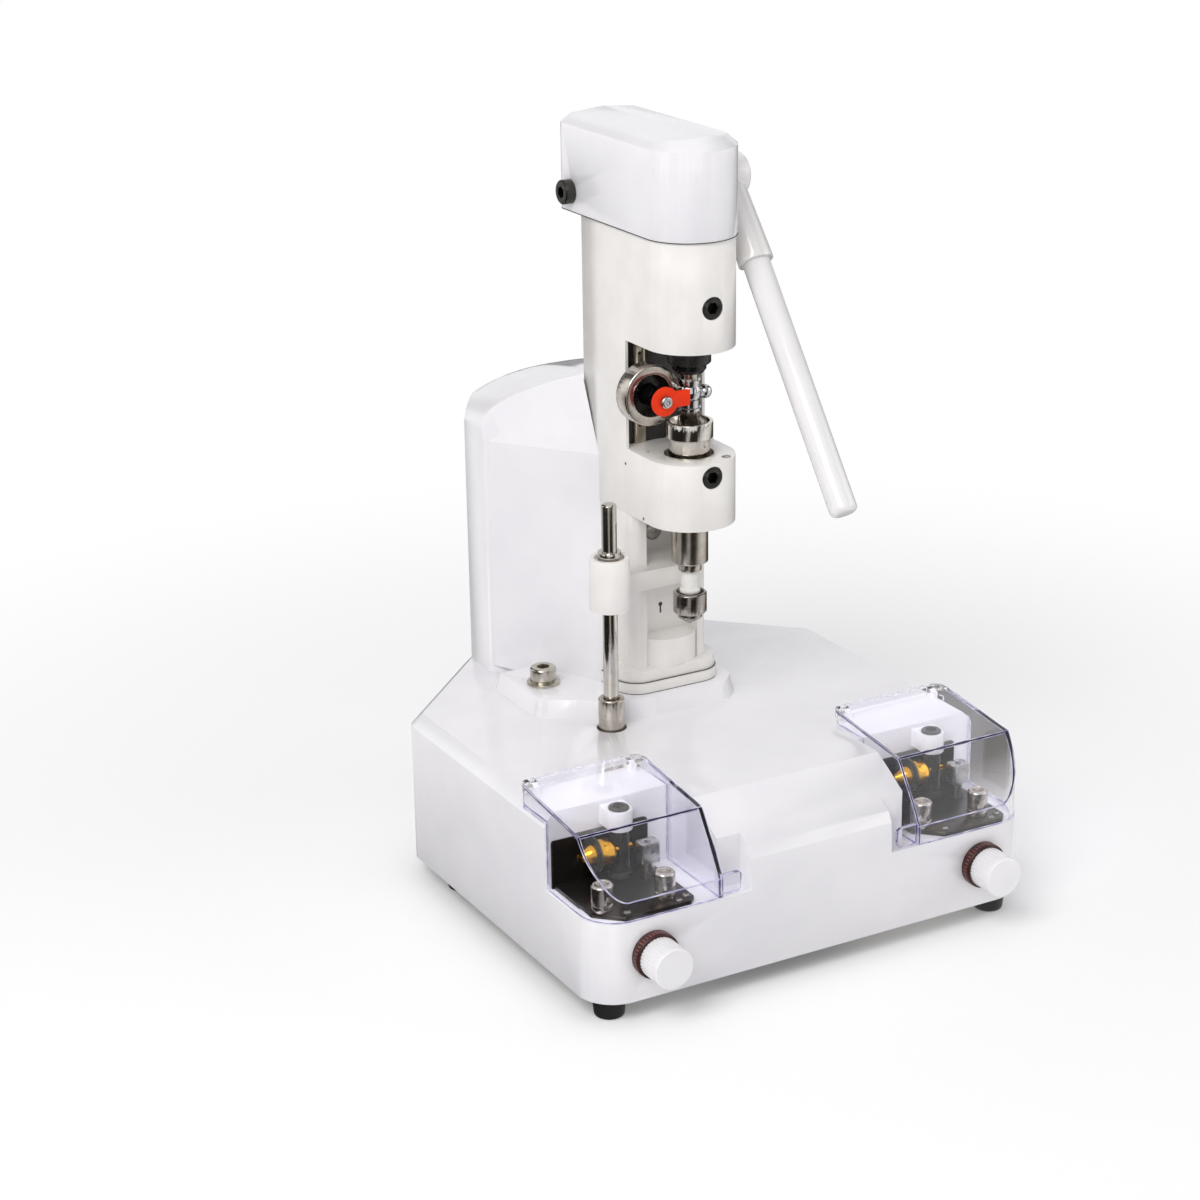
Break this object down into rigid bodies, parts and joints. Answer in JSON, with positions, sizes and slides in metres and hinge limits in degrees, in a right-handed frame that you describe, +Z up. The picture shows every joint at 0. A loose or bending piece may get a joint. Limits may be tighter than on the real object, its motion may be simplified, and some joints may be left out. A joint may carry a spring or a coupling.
{
  "type": "lens drilling machine",
  "caption": "Bench-top lens drilling machine: column drill with feed lever and guide rod on a moulded base with two covered front stations and speed knobs.",
  "frame": {"origin": "on the table under the middle of the whole outline, knobs included", "axes": "+X to the operator's right, +Y to the rear, +Z up"},
  "size_m": [0.322, 0.371, 0.5052],
  "materials": {
    "white_moulding": "gloss moulded ABS",
    "ivory_paint": "semi-gloss powder coat on cast aluminium",
    "white_lever": "gloss enamel on steel",
    "white_grip": "moulded nylon",
    "white_knob": "fluted moulded plastic",
    "white_sleeve": "turned acetal",
    "clear_acrylic": "clear moulded acrylic",
    "ground_steel": "ground and turned steel",
    "zinc_steel": "zinc-plated steel",
    "polished_chrome": "polished chrome plate",
    "black_oxide": "black oxide on steel",
    "dark_plate": "blackened brushed steel plate",
    "brass_gold": "turned brass",
    "black_rubber": "moulded rubber",
    "dial_red": "moulded plastic with graduations",
    "signal_red": "moulded plastic",
    "motor_can": "plated steel can",
    "core_steel": "varnished laminations",
    "black_phenolic": "moulded phenolic"
  },
  "bodies": {
    "base": {"base_shell": "white_moulding", "head_cap": "white_moulding", "head_casting": "ivory_paint", "column_frame": "ivory_paint", "column_plinth": "ivory_paint", "guide_arm": "ivory_paint", "guide_bushes": "ground_steel", "quill_bush": "ground_steel", "rail_strip": "ground_steel", "roller_posts": "ground_steel", "lock_screw": "zinc_steel", "lock_washer": "zinc_steel", "foot_screws": "zinc_steel", "hinge_pins": "zinc_steel", "bottom_plate": "zinc_steel", "tab_screw": "polished_chrome", "stop_blocks": "polished_chrome", "throat_plate": "black_oxide", "feed_bush": "black_oxide", "stop_shaft": "black_oxide", "station_posts": "black_oxide", "post_caps": "black_oxide", "socket_plugs": "black_oxide", "table_left": "dark_plate", "table_right": "dark_plate", "back_panels": "dark_plate", "lever_bushes": "brass_gold", "rubber_feet": "black_rubber", "dial_rings": "dial_red", "stop_tab": "signal_red", "station_motors": "motor_can", "power_transformer": "core_steel", "speed_controls": "black_phenolic"},
    "lever": {"lever_hub": "white_lever", "lever_sleeve": "white_lever", "lever_grip": "white_grip", "lever_shaft": "ground_steel", "drive_pinion": "ground_steel"},
    "quill": {"feed_rack": "ground_steel", "feed_clevis": "polished_chrome", "quill_tube": "ground_steel", "quill_cap": "ground_steel", "quill_motor": "motor_can"},
    "spindle": {"spindle_collar": "ground_steel", "insulating_sleeve": "white_sleeve", "chuck_body": "ground_steel", "chuck_nose": "ground_steel", "chuck_jaws": "ground_steel"},
    "ring": {"stop_ring": "ground_steel"},
    "guide": {"guide_rod": "ground_steel", "rod_collar": "ground_steel"},
    "hood_left": {"cover_left": "clear_acrylic"},
    "hood_right": {"cover_right": "clear_acrylic"},
    "speed_left": {"knob_left": "white_knob"},
    "speed_right": {"knob_right": "white_knob"},
    "tool_left": {"collet_left": "brass_gold", "cutter_left": "black_oxide"},
    "tool_right": {"collet_right": "brass_gold", "cutter_right": "black_oxide"}
  },
  "joints": [
    {"name": "lever_swing", "type": "hinge", "parent": "base", "child": "lever", "pos_m": [0.045, 0.0305, 0.468], "axis": [1, 0, 0], "range_deg": [0, 45], "stiffness_Nm_per_rad": 0.5, "springref_deg": -34.38},
    {"name": "quill_feed", "type": "slide", "parent": "base", "child": "quill", "axis": [0, 0, -1], "range_m": [0, 0.0189]},
    {"name": "spindle_spin", "type": "hinge", "parent": "quill", "child": "spindle", "pos_m": [0, 0.0005, 0.2], "axis": [0, 0, 1], "continuous": true},
    {"name": "stop_ring_turn", "type": "hinge", "parent": "base", "child": "ring", "pos_m": [-0.0231, 0.0135, 0.3377], "axis": [0, 1, 0], "continuous": true},
    {"name": "guide_rod_slide", "type": "slide", "parent": "base", "child": "guide", "axis": [0, 0, 1], "range_m": [-0.018, 0.03]},
    {"name": "cover_left_lift", "type": "hinge", "parent": "base", "child": "hood_left", "pos_m": [-0.116, -0.0632, 0.1231], "axis": [-1, 0, 0], "range_deg": [0, 75]},
    {"name": "cover_right_lift", "type": "hinge", "parent": "base", "child": "hood_right", "pos_m": [0.116, -0.0632, 0.1231], "axis": [-1, 0, 0], "range_deg": [0, 75]},
    {"name": "knob_left_turn", "type": "hinge", "parent": "base", "child": "speed_left", "pos_m": [-0.122, -0.1695, 0.044], "axis": [0, 1, 0], "range_deg": [-150, 150]},
    {"name": "knob_right_turn", "type": "hinge", "parent": "base", "child": "speed_right", "pos_m": [0.122, -0.1695, 0.044], "axis": [0, 1, 0], "range_deg": [-150, 150]},
    {"name": "collet_left_spin", "type": "hinge", "parent": "base", "child": "tool_left", "pos_m": [-0.127, -0.108, 0.091], "axis": [1, 0, 0], "continuous": true},
    {"name": "collet_right_spin", "type": "hinge", "parent": "base", "child": "tool_right", "pos_m": [0.107, -0.108, 0.091], "axis": [1, 0, 0], "continuous": true}
  ],
  "couplings": [
    {"joint": "quill_feed", "follows": "lever_swing", "m_per_rad": 0.024}
  ]
}
